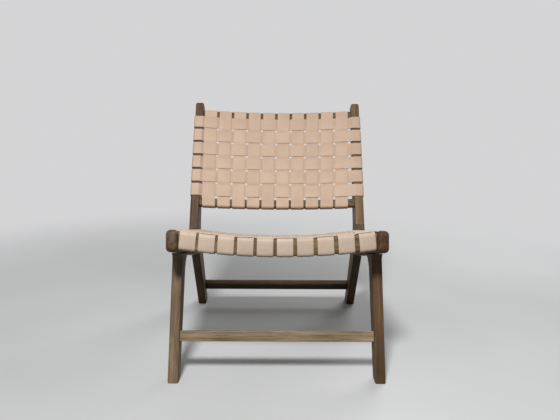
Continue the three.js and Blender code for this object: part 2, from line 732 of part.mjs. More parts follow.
backBottomColumns.forEach((_, index) => {
  const edges = [-halfStrap, halfStrap].map((offset) => {
    const edgeAt = (up) => backColumnsAt(up)[index] + offset;
    return {
      path: backStrapPath(edgeAt, index % 2 === 0),
      place: (place) => backPlace(edgeAt(place.x), place.y, place.x),
    };
  });
  addPiece(`back_strap_${index + 1}`, strapGeometry(edges), leather);
});

backRows.forEach((centre, index) => {
  const edges = [centre - halfStrap, centre + halfStrap].map((up) => {
    const member = {
      inner: legInner,
      outer: legOuter,
      round: EDGE_ROUND,
      top: 0,
      depth: postDepthAt(up),
      tail: BACK_CROSS_TAIL,
      behind: true,
    };
    return {
      path: crossStrapPath(backColumnsAt(up), index % 2 === 1, backLevel, member),
      place: (place) => backPlace(place.x, place.y, up),
    };
  });
  addPiece(`back_cross_strap_${index + 1}`, strapGeometry(edges), leather);
});

// The origin is on the floor, below the middle of the chair's box
const extent = new THREE.Box3().setFromObject(chair);
chair.position.y = -(extent.min.y + extent.max.y) / 2;

export default chair;
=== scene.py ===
"""Dresses the woven strap lounge chair: wooden members with grain, woven leather straps held by
tacks, a pale floor, soft studio light and a camera at the photograph's viewing angle."""

import json
import math

import bmesh
import bpy
import numpy as np
from mathutils import Matrix, Vector

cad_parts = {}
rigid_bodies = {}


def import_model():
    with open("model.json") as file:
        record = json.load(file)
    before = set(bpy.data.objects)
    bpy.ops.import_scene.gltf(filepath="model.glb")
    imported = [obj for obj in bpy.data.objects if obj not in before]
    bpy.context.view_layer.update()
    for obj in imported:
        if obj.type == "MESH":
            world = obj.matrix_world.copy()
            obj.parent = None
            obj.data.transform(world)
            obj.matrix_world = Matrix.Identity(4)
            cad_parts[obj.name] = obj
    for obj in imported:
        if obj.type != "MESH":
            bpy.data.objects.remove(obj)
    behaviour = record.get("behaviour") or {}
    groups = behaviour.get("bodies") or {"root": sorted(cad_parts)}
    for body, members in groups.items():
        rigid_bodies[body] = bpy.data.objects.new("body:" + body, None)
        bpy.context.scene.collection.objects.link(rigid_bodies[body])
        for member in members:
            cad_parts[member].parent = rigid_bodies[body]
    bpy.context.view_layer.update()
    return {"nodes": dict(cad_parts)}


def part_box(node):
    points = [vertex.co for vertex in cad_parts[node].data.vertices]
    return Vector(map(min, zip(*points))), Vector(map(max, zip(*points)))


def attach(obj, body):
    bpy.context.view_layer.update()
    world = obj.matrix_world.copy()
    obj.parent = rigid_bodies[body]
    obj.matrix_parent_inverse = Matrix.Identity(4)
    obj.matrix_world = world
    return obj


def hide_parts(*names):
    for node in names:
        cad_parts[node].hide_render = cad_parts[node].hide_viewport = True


for leftover in list(bpy.data.objects):
    bpy.data.objects.remove(leftover)

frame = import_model()

# ---------------------------------------------------------------- sizes, in mm and degrees
MM = 0.001
BODY = "root"
SIDES = ("left", "right")
QUARTER_TURN = math.pi / 2

# The frame that the straps run on, as in the CAD source
FRONT_FOOT_AHEAD = 34
SEAT_FRONT_HEIGHT = 431
SEAT_SLOPE = math.radians(12)
SEAT_DEPTH = 423
SEAT_DISH = 20
SIDE_RAIL_FRONT_DEPTH = 61
RAIL_TAPER = math.radians(3.5)
SIDE_RAIL_ROUND = 12
RAIL_REBATE = 4
RAIL_OUTER = 305
RAIL_INNER = 272
FRONT_LEG_LEAN = math.radians(21)
FRONT_LEG_TOP_END = 226
REAR_FOOT_BEHIND = 617
REAR_LEG_LEAN = math.radians(33.5)
KNEE_DEPTH = 96
BACK_LEAN = math.radians(28.6)
BACK_DISH = 20
BACK_SETBACK = 4
POST_LENGTH = 496
POST_TOP_DEPTH = 37
POST_OUTER = 305
POST_INNER = 275
POST_ROUND = 4
SEAT_RAIL_FACES = (9, 412)
SEAT_RAIL_HEIGHT = 46
SEAT_RAIL_ROUND = 7
BACK_RAIL_ENDS = (90, 465.5)
BACK_RAIL_HEIGHT = 29
BACK_RAIL_DEPTH = 22
BACK_RAIL_ROUND = 5

# The straps
STRAP_WIDTH = 45
STRAP_THICKNESS = 2.5
STRAP_EASE = 1.0
WEAVE_GAP = 0.9
STRAP_CLEARANCE = 0.35
WAVE_RUN = 18
END_MARGIN = 1
CROWN = 0.5
SEAT_FIELD = 266.5
FACE_LEAN_SHARE = 0.66
SEAT_DRIFT = 7
SEAT_ROW_FIELD = (24, 397)
SEAT_COLUMN_COUNT = 10
SEAT_ROW_COUNT = 7
BACK_BOTTOM_FIELD = (-265, 251)
BACK_TOP_FIELD = (-270, 263)
BACK_ROW_FIELD = (126, 437)
BACK_COLUMN_COUNT = 10
BACK_ROW_COUNT = 6
SEAT_STRAP_TAIL = 26
BACK_STRAP_TAIL = 24
CROSS_TAIL = 22
TACK_FROM_END = 9
TACK_SPREAD = 11
TACK_RADIUS = 3.4
TACK_HEIGHT = 1.5
TACK_SUNK = 0.3

# How finely the meshes are drawn
CROSSING_STEPS = 8
RAMP_STEPS = 8
TURN_STEPS = 7
LEAST_TURN = math.radians(4)
SOFTENING_PASSES = 2
FACE_STEPS = 6
EASE_STEPS = 3
TACK_SIDES = 12
TACK_RINGS = 3
LEAST_MITRE = 0.5
WELD_REACH = 0.005
STRAP_SHARP_ANGLE = math.radians(60)
WOOD_SHARP_ANGLE = math.radians(40)

# ---------------------------------------------------------------- looks, with lengths in metres
# A noise is its cells per metre in three directions, its detail and its roughness. A range is
# the stretch of a noise or share that counts, and shades or shares are what its ends become.
# A bump is its height and its strength.
NOISE_RANGE = (0.3, 0.7)
GRAIN_SHIFT = 0.553

# Wood, whose first direction runs along the grain
WOOD_FIGURE_NOISE = ((2.2, 80, 80), 5, 0.6)
WOOD_FIGURE = (
    (0.32, (0.118, 0.076, 0.040)),
    (0.50, (0.200, 0.142, 0.082)),
    (0.68, (0.280, 0.210, 0.130)),
)
WOOD_FIBRE_NOISE = ((16, 620, 620), 3, 0.5)
WOOD_FIBRE_SHADES = (0.62, 1.28)
WOOD_FIBRE_BUMP = (0.0004, 0.5)
WOOD_PORE_NOISE = ((42, 1300, 1300), 1, 0.5)
WOOD_PORE_RANGE = (0.6, 0.74)
WOOD_PORE_SHARES = (0.0, 0.65)
WOOD_PORE = (0.050, 0.031, 0.017)
WOOD_PORE_BUMP = (0.0003, 0.35)
WOOD_STAIN_NOISE = ((7, 14, 14), 3, 0.5)
WOOD_STAIN_RANGE = (0.32, 0.68)
WOOD_STAIN_SHADES = (0.72, 1.28)
WOOD_ROUGHNESS = (0.62, 0.46)
WOOD_SPECULAR = 0.2
# Painted shade: the wood's colour goes nearly black in its corners and nooks and beside the
# straps, where shadow falls
WOOD_PAINTED_SHADE = (0.022, 0.013, 0.006)
PAINTED_SHADE_REACH = 0.014
PAINTED_SHADE_SAMPLES = 4
PAINTED_SHADE_RANGE = (0.2, 0.75)
PAINTED_SHADE_SHARES = (0.85, 0.0)
DOWEL_TONE = (1.10, 1.05, 1.05)

# Leather, whose directions are along the strap, across it and from strap to strap
LEATHER_CLOUD_NOISE = ((9, 22, 1), 3, 0.5)
LEATHER_CLOUDS = (
    (0.30, (0.570, 0.418, 0.312)),
    (0.70, (0.640, 0.480, 0.366)),
)
LEATHER_MOTTLE_NOISE = ((130, 170, 1), 4, 0.6)
LEATHER_MOTTLE_SHADES = (0.95, 1.04)
LEATHER_PORE_NOISE = ((1500, 1500, 1), 2, 0.5)
LEATHER_PORE_RANGE = (0.58, 0.75)
LEATHER_PORE_SHARES = (0.0, 0.3)
LEATHER_PORE = (0.48, 0.34, 0.245)
LEATHER_PORE_BUMP = (0.0003, 0.3)
LEATHER_CREASE_NOISE = ((90, 420, 1), 3, 0.5)
LEATHER_CREASE_BUMP = (0.0006, 0.25)
LEATHER_FLESH = (0.55, 0.42, 0.315)
LEATHER_FLESH_RANGE = (0.75, 0.1)
LEATHER_FLESH_SHARES = (0.0, 0.7)
# Partly the cut edge's own colour and partly a painted highlight: the straps' cut edges are
# painted lighter
LEATHER_EDGE_AND_HIGHLIGHT = (0.66, 0.50, 0.385)
LEATHER_EDGE_RANGE = (0.955, 1.0)
LEATHER_EDGE_SHARES = (0.0, 0.5)
LEATHER_ROUGHNESS = (0.46, 0.62)
LEATHER_SPECULAR = 0.35
# The seat's leather is a little greyer than the back's. Part of the difference in brightness
# between them is painted light: the seat's leather is painted lighter and the back's darker, for
# the light that falls more fully on the back.
SEAT_TINT_AND_LIGHT = np.array((1.00, 1.05, 1.08))
BACK_TINT_AND_SHADE = np.array((0.96, 0.93, 0.895))
TONE_SEED = 7
TONE_SPREAD = 0.03

# Brass
BRASS_NOISE = ((420, 420, 420), 3, 0.5)
BRASS_PATINA = (
    (0.35, (0.22, 0.14, 0.06)),
    (0.65, (0.46, 0.32, 0.14)),
)
BRASS_ROUGHNESS = (0.32, 0.55)

# Floor and backdrop
FLOOR_SIZE = 12.0
FLOOR_FADE = (0.8, 2.6)
FLOOR_NOISE = ((0.9, 0.9, 0.9), 3, 0.5)
FLOOR_SHADES = (
    (0.35, (0.60, 0.61, 0.61)),
    (0.65, (0.68, 0.69, 0.69)),
)
FLOOR_BOUNCE = (0.10, 0.10, 0.10)
FLOOR_ROUGHNESS = 0.7
FLOOR_SPECULAR = 0.2
BACKDROP = (0.66, 0.66, 0.67)
BACKDROP_STRENGTH = 1.0

# Light
SKY_COLOUR = (1, 1, 1)
SKY_STRENGTH = 0.16
KEY_POWER = 86.0
KEY_SIZE = 0.6
KEY_PLACE = (-0.4, -2.1, 2.7)
FILL_POWER = 42.0
FILL_SIZE = 2.0
FILL_PLACE = (1.6, 2.4, 1.9)
LIGHT_TARGET = Vector((0, 0, 0.4))

# Camera, fitted to the photograph, with its lens and sensor in mm
CAMERA_PLACE = (-0.0092, -1.8090, 0.7547)
CAMERA_YAW = math.radians(0.575)
CAMERA_PITCH = math.radians(10.228)
CAMERA_ROLL = math.radians(0.418)
CAMERA_LENS = 36.0
CAMERA_SENSOR = 36.0

# ---------------------------------------------------------------- places in the side plane
half_strap = STRAP_WIDTH / 2
layer = (STRAP_THICKNESS + WEAVE_GAP) / 2
skin = STRAP_CLEARANCE + STRAP_THICKNESS / 2
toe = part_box("front_leg_left")[0].y / MM


def plane(y, z):
    return np.array([y, z], float)


def crossing(start_a, run_a, start_b, run_b):
    """Where two lines of the side plane cross."""
    share = np.linalg.solve(np.column_stack([run_a, -run_b]), start_b - start_a)[0]
    return start_a + run_a * share


seat_back = plane(math.cos(SEAT_SLOPE), -math.sin(SEAT_SLOPE))
seat_up = plane(math.sin(SEAT_SLOPE), math.cos(SEAT_SLOPE))
back_up = plane(math.sin(BACK_LEAN), math.cos(BACK_LEAN))
back_front = plane(-math.cos(BACK_LEAN), math.sin(BACK_LEAN))
front_leg_up = plane(math.sin(FRONT_LEG_LEAN), math.cos(FRONT_LEG_LEAN))
rear_leg_up = plane(-math.sin(REAR_LEG_LEAN), math.cos(REAR_LEG_LEAN))

seat_datum = plane(toe + FRONT_FOOT_AHEAD, SEAT_FRONT_HEIGHT)
rail_top_rear = seat_datum + seat_back * SEAT_DEPTH
rear_foot = plane(seat_datum[0] + REAR_FOOT_BEHIND, 0)
knee_rear = crossing(rail_top_rear, back_up, rear_foot, rear_leg_up) + plane(KNEE_DEPTH, 0)
post_top_rear = rail_top_rear + back_up * POST_LENGTH - back_front * POST_TOP_DEPTH


def rail_depth(back):
    return SIDE_RAIL_FRONT_DEPTH + back * math.tan(RAIL_TAPER)


def post_depth(up):
    front = rail_top_rear + back_up * up
    rear = crossing(front, back_front, knee_rear, post_top_rear - knee_rear)
    return np.linalg.norm(front - rear)


def seat_level(x):
    return skin - RAIL_REBATE - SEAT_DISH * (1 - (x / RAIL_INNER) ** 2)


def back_level(x):
    return -BACK_SETBACK - BACK_DISH * (1 - (x / POST_INNER) ** 2)


def in_space(x, places):
    """Points of the side plane at distance x from the middle, in metres."""
    x = np.broadcast_to(x, len(places))
    return np.column_stack([x, places]) * MM


def seat_place(x, back, up):
    return in_space(x, seat_datum + np.outer(back, seat_back) + np.outer(up, seat_up))


def back_place(x, forward, up):
    return in_space(x, rail_top_rear + np.outer(forward, back_front) + np.outer(up, back_up))


# ---------------------------------------------------------------- routes of the straps
# A route is a row of (distance, level) pairs. Its outer side is on its left.
def arc(centre, radius, start, end):
    angles = np.linspace(start, end, TURN_STEPS + 1)
    return np.column_stack([
        centre[0] + radius * np.cos(angles),
        centre[1] + radius * np.sin(angles),
    ])


def mirrored(route):
    return (route * (-1, 1))[::-1]


def ramp(start, end, eased):
    """Points between two stretches, on a straight line or eased at both ends."""
    share = np.linspace(0, 1, RAMP_STEPS + 1)[1:-1]
    rise = share * share * (3 - 2 * share) if eased else share
    return np.column_stack([
        start[0] + (end[0] - start[0]) * share,
        start[1] + (end[1] - start[1]) * rise,
    ])


def joined(stretches, eased):
    route = [stretches[0]]
    for before, after in zip(stretches, stretches[1:]):
        route += [ramp(before[-1], after[0], eased), after]
    return np.concatenate(route)


def woven(centres, over_first, level, across):
    """The waved stretch: level under a crossing strap, and slightly crowned over one. It changes
    sides in a long slope, which begins a little before the edge of the strap that it crosses."""
    gap = centres[1] - centres[0] - STRAP_WIDTH
    reach = half_strap - (WAVE_RUN - gap) / 2
    end_reach = half_strap + END_MARGIN
    crossings = []
    for index, centre in enumerate(centres):
        over = (index % 2 == 0) == over_first
        low = end_reach if index == 0 else reach
        high = end_reach if index == len(centres) - 1 else reach
        offsets = np.linspace(-low, high, CROSSING_STEPS + 1)
        crown = CROWN * (1 - (across / half_strap) ** 2) * (1 - (offsets / end_reach) ** 2)
        rise = layer + crown if over else -layer + 0 * offsets
        places = centre + offsets
        crossings.append(np.column_stack([places, level(places) + rise]))
    return joined(crossings, eased=True)


def rail_wrap(face, top, bottom, rounding, tail):
    """From a strap's tail, round a rail, to where the strap leaves it."""
    radius = rounding + skin
    return np.concatenate([
        [(face + tail, bottom - skin)],
        arc((face + rounding, bottom + rounding), radius, -QUARTER_TURN, -2 * QUARTER_TURN),
        arc((face + rounding, top - rounding), radius, 2 * QUARTER_TURN, QUARTER_TURN),
    ])


def member_wrap(start, inner, outer, rounding, top, depth, behind):
    """Over a side member, down its outer face, and behind it where there is room."""
    radius = rounding + skin
    corner = np.array([inner + rounding, top - rounding])
    offset = start - corner
    opening = math.acos(min(radius / np.linalg.norm(offset), 1))
    first_turn = max(math.atan2(offset[1], offset[0]) - opening, QUARTER_TURN + LEAST_TURN)
    stretches = [
        arc(corner, radius, first_turn, QUARTER_TURN),
        arc((outer - rounding, top - rounding), radius, QUARTER_TURN, 0),
    ]
    if behind:
        stretches.append(arc((outer - rounding, rounding - depth), radius, 0, -QUARTER_TURN))
        end = (outer - CROSS_TAIL, -depth - skin)
    else:
        end = (outer + skin, rounding - depth)
    return np.concatenate([joined(stretches, eased=False), [end]])


def cross_route(centres, over_first, level, across, wrap):
    middle = woven(centres, over_first, level, across)
    right = wrap(middle[-1])
    left = mirrored(wrap(mirrored(middle)[-1]))
    return joined([left, middle, right], eased=False)


def softened(route):
    for _ in range(SOFTENING_PASSES):
        route[1:-1] = (route[:-2] + 2 * route[1:-1] + route[2:]) / 4
    return route


def evenly(low, high, count, drift=0):
    share = np.linspace(0, 1, count)
    return low + half_strap + (high - low - STRAP_WIDTH) * share - drift * 4 * share * (1 - share)


seat_columns = evenly(-SEAT_FIELD, SEAT_FIELD, SEAT_COLUMN_COUNT, SEAT_DRIFT)
seat_rows = evenly(*SEAT_ROW_FIELD, SEAT_ROW_COUNT)
back_rows = evenly(*BACK_ROW_FIELD, BACK_ROW_COUNT)
back_bottom_columns = evenly(*BACK_BOTTOM_FIELD, BACK_COLUMN_COUNT)
back_top_columns = evenly(*BACK_TOP_FIELD, BACK_COLUMN_COUNT)


def back_column(index, up):
    """The middle of one of the back's straps, which fan out a little towards the top."""
    low, high = BACK_RAIL_ENDS
    share = (up - low) / (high - low)
    bottom, top = back_bottom_columns[index], back_top_columns[index]
    return bottom + (top - bottom) * share


def face_lean(centre, level):
    """On the face of a dished rail a strap turns towards square with the rail's curve, so its
    lower end leans out."""
    below = np.clip(seat_level(centre) - layer - skin - level, 0, SEAT_RAIL_HEIGHT)
    return FACE_LEAN_SHARE * below * 2 * SEAT_DISH * centre / RAIL_INNER**2


def seat_strap(index):
    def route(across):
        x = seat_columns[index] + across
        top = seat_level(x) - layer - skin
        front, rear = SEAT_RAIL_FACES
        size = (top, top - SEAT_RAIL_HEIGHT, SEAT_RAIL_ROUND, SEAT_STRAP_TAIL)
        middle = woven(seat_rows, index % 2 == 0, lambda back: seat_level(x) + 0 * back, across)
        front_wrap, rear_wrap = rail_wrap(front, *size), mirrored(rail_wrap(-rear, *size))
        return joined([front_wrap, middle, rear_wrap], eased=True)

    def place(across, points):
        x = seat_columns[index] + across + face_lean(seat_columns[index], points[:, 1])
        return seat_place(x, points[:, 0], points[:, 1])

    return route, place


def seat_cross_strap(index):
    behind = seat_rows[index] - half_strap > FRONT_LEG_TOP_END

    def route(across):
        depth = rail_depth(seat_rows[index] + across)

        def wrap(start):
            return member_wrap(
                start, RAIL_INNER, RAIL_OUTER, SIDE_RAIL_ROUND, -RAIL_REBATE, depth, behind
            )

        return cross_route(seat_columns, index % 2 == 1, seat_level, across, wrap)

    def place(across, points):
        back = np.full(len(points), seat_rows[index] + across)
        return seat_place(points[:, 0], back, points[:, 1])

    return route, place


def back_strap(index):
    low, high = BACK_RAIL_ENDS

    def wrap(end, up, across):
        front = back_level(back_column(index, up) + across) - layer - skin
        return rail_wrap(end, front, front - BACK_RAIL_DEPTH, BACK_RAIL_ROUND, BACK_STRAP_TAIL)

    def route(across):
        bottom = wrap(low, low + BACK_RAIL_HEIGHT / 2, across)
        top = mirrored(wrap(-high, high - BACK_RAIL_HEIGHT / 2, across))

        def level(up):
            return back_level(back_column(index, up) + across)

        middle = woven(back_rows, index % 2 == 0, level, across)
        return joined([bottom, middle, top], eased=True)

    def place(across, points):
        x = back_column(index, points[:, 0]) + across
        return back_place(x, points[:, 1], points[:, 0])

    return route, place


def back_cross_strap(index):
    def route(across):
        up = back_rows[index] + across
        centres = [back_column(column, up) for column in range(BACK_COLUMN_COUNT)]

        def wrap(start):
            return member_wrap(start, POST_INNER, POST_OUTER, POST_ROUND, 0, post_depth(up), True)

        return cross_route(centres, index % 2 == 1, back_level, across, wrap)

    def place(across, points):
        up = np.full(len(points), back_rows[index] + across)
        return back_place(points[:, 0], points[:, 1], up)

    return route, place


# ---------------------------------------------------------------- meshes
def outward(route):
    """The direction out of the strap at each point of its route, longer where the route turns."""
    runs = np.diff(route, axis=0)
    runs /= np.linalg.norm(runs, axis=1)[:, None]
    run_in = np.concatenate([runs[:1], runs])
    run_out = np.concatenate([runs, runs[-1:]])
    run = run_in + run_out
    run /= np.linalg.norm(run, axis=1)[:, None]
    turn = np.maximum((run * run_in).sum(axis=1), LEAST_MITRE)
    return np.column_stack([-run[:, 1], run[:, 0]]) / turn[:, None]


def strap_section():
    """The outline of a strap's cut, as (across, out) pairs with eased corners."""
    flat_half, thin_half = half_strap - STRAP_EASE, STRAP_THICKNESS / 2 - STRAP_EASE
    face = np.linspace(-flat_half, flat_half, FACE_STEPS + 1)[1:-1]
    top = [(place, STRAP_THICKNESS / 2) for place in face]
    right = []
    for corner, start in ((thin_half, 90), (-thin_half, 0)):
        for angle in np.radians(start - np.linspace(0, 90, EASE_STEPS + 1)):
            right.append((
                flat_half + STRAP_EASE * math.cos(angle),
                corner + STRAP_EASE * math.sin(angle),
            ))
    half_loop = top + right
    return half_loop + [(-across, -out) for across, out in half_loop]


def new_piece(name, mesh, material):
    piece = bpy.data.objects.new(name, mesh)
    bpy.context.scene.collection.objects.link(piece)
    mesh.materials.append(material)
    mesh.shade_smooth()
    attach(piece, BODY)
    return piece


def set_attribute(mesh, name, values):
    """A number or a vector for each vertex, which the materials read."""
    values = np.asarray(values, np.float32)
    kind, key = ("FLOAT_VECTOR", "vector") if values.ndim == 2 else ("FLOAT", "value")
    mesh.attributes.new(name, kind, "POINT").data.foreach_set(key, values.ravel())


def strap_piece(name, shape, tone, number):
    route, place = shape
    section = strap_section()
    columns = []
    for across, out in section:
        path = softened(route(across))
        columns.append(place(across, path + outward(path) * out))
    points = np.stack(columns, axis=1)
    rings, around = points.shape[:2]
    faces = [list(range(around)), [(rings - 1) * around + side for side in range(around)]]
    for ring in range(rings - 1):
        for side in range(around):
            a, b = ring * around + side, ring * around + (side + 1) % around
            faces.append([a, b, b + around, a + around])
    mesh = bpy.data.meshes.new(name)
    mesh.from_pydata(points.reshape(-1, 3).tolist(), [], faces)
    shell = bmesh.new()
    shell.from_mesh(mesh)
    bmesh.ops.recalc_face_normals(shell, faces=shell.faces)
    shell.to_mesh(mesh)
    shell.free()
    middle = softened(route(0.0))
    steps = np.linalg.norm(np.diff(middle, axis=0), axis=1)
    travelled = np.concatenate([[0], np.cumsum(steps)]) * MM
    edge = np.array([abs(across) / half_strap for across, _ in section])
    rind = np.array([out / STRAP_THICKNESS + 0.5 for _, out in section])
    across_m = np.array([across for across, _ in section]) * MM
    lay = np.stack([
        np.repeat(travelled[:, None], around, axis=1),
        np.tile(across_m, (rings, 1)),
        np.full((rings, around), number * GRAIN_SHIFT),
    ], axis=2)
    set_attribute(mesh, "lay", lay.reshape(-1, 3))
    set_attribute(mesh, "edge", np.tile(edge, rings))
    set_attribute(mesh, "rind", np.tile(rind, rings))
    set_attribute(mesh, "tone", np.tile(tone, (rings * around, 1)))
    piece = new_piece(name + "_leather", mesh, leather)
    mesh.set_sharp_from_angle(angle=STRAP_SHARP_ANGLE)
    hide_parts(name)


def tack_places(shape):
    """Where a strap's tacks stand, two at each end: (place, outward direction) pairs."""
    route, place = shape
    found = []
    for across in (-TACK_SPREAD, TACK_SPREAD):
        path = softened(route(across))
        for tip, inner, turning in ((path[0], path[1], 1), (path[-1], path[-2], -1)):
            run = (inner - tip) / np.linalg.norm(inner - tip)
            spot = tip + run * TACK_FROM_END
            turned = np.array([-run[1], run[0]]) * turning
            heights = (STRAP_THICKNESS / 2, STRAP_THICKNESS / 2 + TACK_HEIGHT)
            base, top = place(across, np.array([spot + turned * height for height in heights]))
            found.append((Vector(base), (Vector(top) - Vector(base)).normalized()))
    return found


def tacks_piece(name, shapes):
    """All the domed tacks of one set of straps."""
    heads = bmesh.new()
    for shape in shapes:
        for base, up in tack_places(shape):
            turn = up.to_track_quat("Z", "Y").to_matrix().to_4x4()
            stand = Matrix.Translation(base) @ turn
            rings = []
            for ring in range(TACK_RINGS + 1):
                angle = QUARTER_TURN * ring / (TACK_RINGS + 1)
                radius = TACK_RADIUS * math.cos(angle) * MM
                height = (TACK_HEIGHT * math.sin(angle) - TACK_SUNK) * MM
                rings.append([
                    heads.verts.new(stand @ Vector((
                        radius * math.cos(2 * math.pi * side / TACK_SIDES),
                        radius * math.sin(2 * math.pi * side / TACK_SIDES),
                        height,
                    )))
                    for side in range(TACK_SIDES)
                ])
            heads.faces.new(rings[0][::-1])
            heads.faces.new(rings[-1])
            for low, high in zip(rings, rings[1:]):
                for side in range(TACK_SIDES):
                    after = (side + 1) % TACK_SIDES
                    heads.faces.new([low[side], low[after], high[after], high[side]])
    mesh = bpy.data.meshes.new(name)
    heads.to_mesh(mesh)
    heads.free()
    new_piece(name, mesh, brass)


def wood_piece(name, run, tone, number):
    """A CAD member with smooth rounds, and its own place in the grain."""
    mesh = bpy.data.meshes.new(name)
    shell = bmesh.new()
    shell.from_mesh(frame["nodes"][name].data)
    bmesh.ops.remove_doubles(shell, verts=shell.verts, dist=WELD_REACH * MM)
    shell.to_mesh(mesh)
    shell.free()
    for leftover_normals in ("custom_normal", "sharp_edge", "sharp_face"):
        if leftover_normals in mesh.attributes:
            mesh.attributes.remove(mesh.attributes[leftover_normals])
    points = np.array([vertex.co for vertex in mesh.vertices])
    run = np.array(run, float)
    side = np.array([0, 0, 1]) if run[0] else np.array([1, 0, 0])
    third = np.cross(run, side)
    offset = points - points.mean(axis=0)
    grain = np.column_stack([offset @ run, offset @ side, offset @ third]) + number * GRAIN_SHIFT
    set_attribute(mesh, "grain", grain)
    set_attribute(mesh, "tone", np.tile(tone, (len(points), 1)))
    piece = new_piece(name + "_wood", mesh, wood)
    mesh.set_sharp_from_angle(angle=WOOD_SHARP_ANGLE)
    weighted = piece.modifiers.new("flat faces stay flat", "WEIGHTED_NORMAL")
    weighted.keep_sharp = True
    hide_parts(name)


# ---------------------------------------------------------------- materials
def new_material(name):
    material = bpy.data.materials.new(name)
    material.use_nodes = True
    tree = material.node_tree
    return material, tree, tree.nodes["Principled BSDF"]


def add(tree, kind, links=(), values=(), **settings):
    """A node with its settings, the sockets that feed it and its own values."""
    made = tree.nodes.new(kind)
    for key, value in settings.items():
        setattr(made, key, value)
    for key, value in dict(values).items():
        made.inputs[key].default_value = value
    for key, source in dict(links).items():
        tree.links.new(source, made.inputs[key])
    return made


def attribute(tree, name, output):
    return add(tree, "ShaderNodeAttribute", attribute_name=name).outputs[output]


def stretched_noise(tree, vector, noise):
    """Noise whose cells have their own counts per metre along each of the three directions."""
    cells, detail, roughness = noise
    laid = add(tree, "ShaderNodeMapping", {"Vector": vector}, {"Scale": cells})
    texture = add(
        tree,
        "ShaderNodeTexNoise",
        {"Vector": laid.outputs["Vector"]},
        {"Scale": 1.0, "Detail": detail, "Roughness": roughness},
    )
    return texture.outputs["Fac"]


def shades(tree, factor, stops):
    """A colour for each height of a factor: (place, colour) pairs."""
    ramp_node = add(tree, "ShaderNodeValToRGB", {"Fac": factor})
    points = ramp_node.color_ramp.elements
    while len(points) < len(stops):
        points.new(1.0)
    for point, (place, colour) in zip(points, stops):
        point.position = place
        point.color = (*colour, 1)
    return ramp_node.outputs["Color"]


def remapped(tree, value, ends, results):
    """A number stretched so that its two ends become the two results."""
    return add(
        tree,
        "ShaderNodeMapRange",
        {"Value": value},
        {"From Min": ends[0], "From Max": ends[1], "To Min": results[0], "To Max": results[1]},
    ).outputs["Result"]


def blended(tree, kind, factor, first, second):
    """Two colours blended. The factor and both colours are sockets or plain values."""
    made = add(tree, "ShaderNodeMix", data_type="RGBA", blend_type=kind)
    for place, source in (("Factor_Float", factor), ("A_Color", first), ("B_Color", second)):
        socket = next(each for each in made.inputs if each.identifier == place)
        if isinstance(source, bpy.types.NodeSocket):
            tree.links.new(source, socket)
        else:
            socket.default_value = source if place == "Factor_Float" else (*source, 1)
    return next(each for each in made.outputs if each.identifier == "Result_Color")


def multiplied(tree, colour, share):
    return blended(tree, "MULTIPLY", 1.0, colour, share)


def grey(tree, value):
    """A number as a grey colour, to multiply a colour by."""
    made = add(tree, "ShaderNodeCombineColor")
    for channel in ("Red", "Green", "Blue"):
        tree.links.new(value, made.inputs[channel])
    return made.outputs["Color"]


def bumped(tree, height, bump, under=None):
    """A surface's relief, on top of another one where there is one under it."""
    distance, strength = bump
    values = {"Distance": distance, "Strength": strength}
    made = add(tree, "ShaderNodeBump", {"Height": height}, values)
    if under is not None:
        tree.links.new(under, made.inputs["Normal"])
    return made.outputs["Normal"]


def wood_material():
    material, tree, shader = new_material("weathered_wood")
    grain = attribute(tree, "grain", "Vector")
    figure = stretched_noise(tree, grain, WOOD_FIGURE_NOISE)
    fibre = stretched_noise(tree, grain, WOOD_FIBRE_NOISE)
    pores = stretched_noise(tree, grain, WOOD_PORE_NOISE)
    colour = shades(tree, figure, WOOD_FIGURE)
    fibres = remapped(tree, fibre, NOISE_RANGE, WOOD_FIBRE_SHADES)
    colour = multiplied(tree, colour, grey(tree, fibres))
    pore_share = remapped(tree, pores, WOOD_PORE_RANGE, WOOD_PORE_SHARES)
    colour = blended(tree, "MIX", pore_share, colour, WOOD_PORE)
    stain = stretched_noise(tree, grain, WOOD_STAIN_NOISE)
    stains = remapped(tree, stain, WOOD_STAIN_RANGE, WOOD_STAIN_SHADES)
    colour = multiplied(tree, colour, grey(tree, stains))
    colour = multiplied(tree, colour, attribute(tree, "tone", "Color"))
    # Painted shade: ambient occlusion darkens the wood's colour close to other surfaces
    nook_shade = add(
        tree,
        "ShaderNodeAmbientOcclusion",
        values={"Distance": PAINTED_SHADE_REACH},
        samples=PAINTED_SHADE_SAMPLES,
    )
    painted_shade_share = remapped(tree, nook_shade.outputs["AO"], PAINTED_SHADE_RANGE, PAINTED_SHADE_SHARES)
    colour = blended(tree, "MIX", painted_shade_share, colour, WOOD_PAINTED_SHADE)
    tree.links.new(colour, shader.inputs["Base Color"])
    roughness = remapped(tree, fibre, NOISE_RANGE, WOOD_ROUGHNESS)
    tree.links.new(roughness, shader.inputs["Roughness"])
    shader.inputs["Specular IOR Level"].default_value = WOOD_SPECULAR
    relief = bumped(tree, fibre, WOOD_FIBRE_BUMP)
    tree.links.new(bumped(tree, pores, WOOD_PORE_BUMP, relief), shader.inputs["Normal"])
    return material


